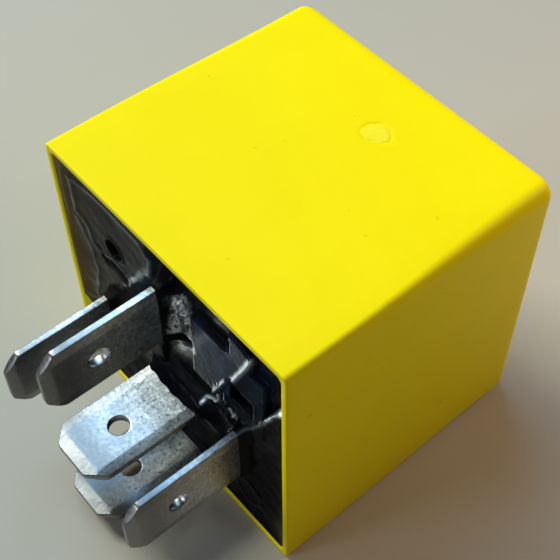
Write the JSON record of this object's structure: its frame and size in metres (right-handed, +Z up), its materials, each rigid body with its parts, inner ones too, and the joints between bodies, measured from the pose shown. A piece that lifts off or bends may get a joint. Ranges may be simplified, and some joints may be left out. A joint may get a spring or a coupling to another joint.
{
  "type": "automotive relay",
  "caption": "Sealed changeover relay: box-shaped cover, potted base with flat blade terminals, and a sprung armature inside.",
  "frame": {"origin": "on the resting side, under the middle of the relay's whole length, blades included", "axes": "+Y from the blades towards the closed end of the cover, +Z up from the side that the relay lies on, X across"},
  "size_m": [0.028, 0.037, 0.0269],
  "materials": {
    "yellow_cover": "satin moulded, bright yellow",
    "black_compound": "glossy cast potting compound, rippled",
    "black_base": "matt moulded",
    "tinned_strip": "tin-plated brass strip, mottled and lightly scratched",
    "plated_steel": "bright zinc plate",
    "white_bobbin": "natural moulded",
    "enamelled_copper": "enamelled copper wire",
    "spring_bronze": "rolled bronze",
    "contact_silver": "silver alloy",
    "spring_steel": "drawn wire",
    "copper_braid": "stranded copper",
    "resistor_body": "lacquered ceramic",
    "tinned_wire": "tinned copper wire"
  },
  "bodies": {
    "housing": {"cover": "yellow_cover", "potting": "black_compound", "base_plate": "black_base", "terminal_30": "tinned_strip", "terminal_85": "tinned_strip", "terminal_86": "tinned_strip", "terminal_87": "tinned_strip", "terminal_87a": "tinned_strip", "yoke": "plated_steel", "core": "plated_steel", "bobbin": "white_bobbin", "winding": "enamelled_copper", "coil_lead_85": "enamelled_copper", "coil_lead_86": "enamelled_copper", "contact_make": "contact_silver", "contact_break": "contact_silver", "return_spring": "spring_steel", "pigtail": "copper_braid", "resistor": "resistor_body", "resistor_leads": "tinned_wire"},
    "armature_group": {"armature": "plated_steel", "contact_spring": "spring_bronze", "leaf_rivets": "spring_bronze", "contact_moving": "contact_silver"}
  },
  "joints": [
    {"name": "armature_rock", "type": "hinge", "parent": "housing", "child": "armature_group", "pos_m": [0, 0.01195, 0.023], "axis": [-1, 0, 0], "range_deg": [0, 2.6], "stiffness_Nm_per_rad": 0.01, "springref_deg": -22.92, "deforming": ["pigtail"]}
  ]
}
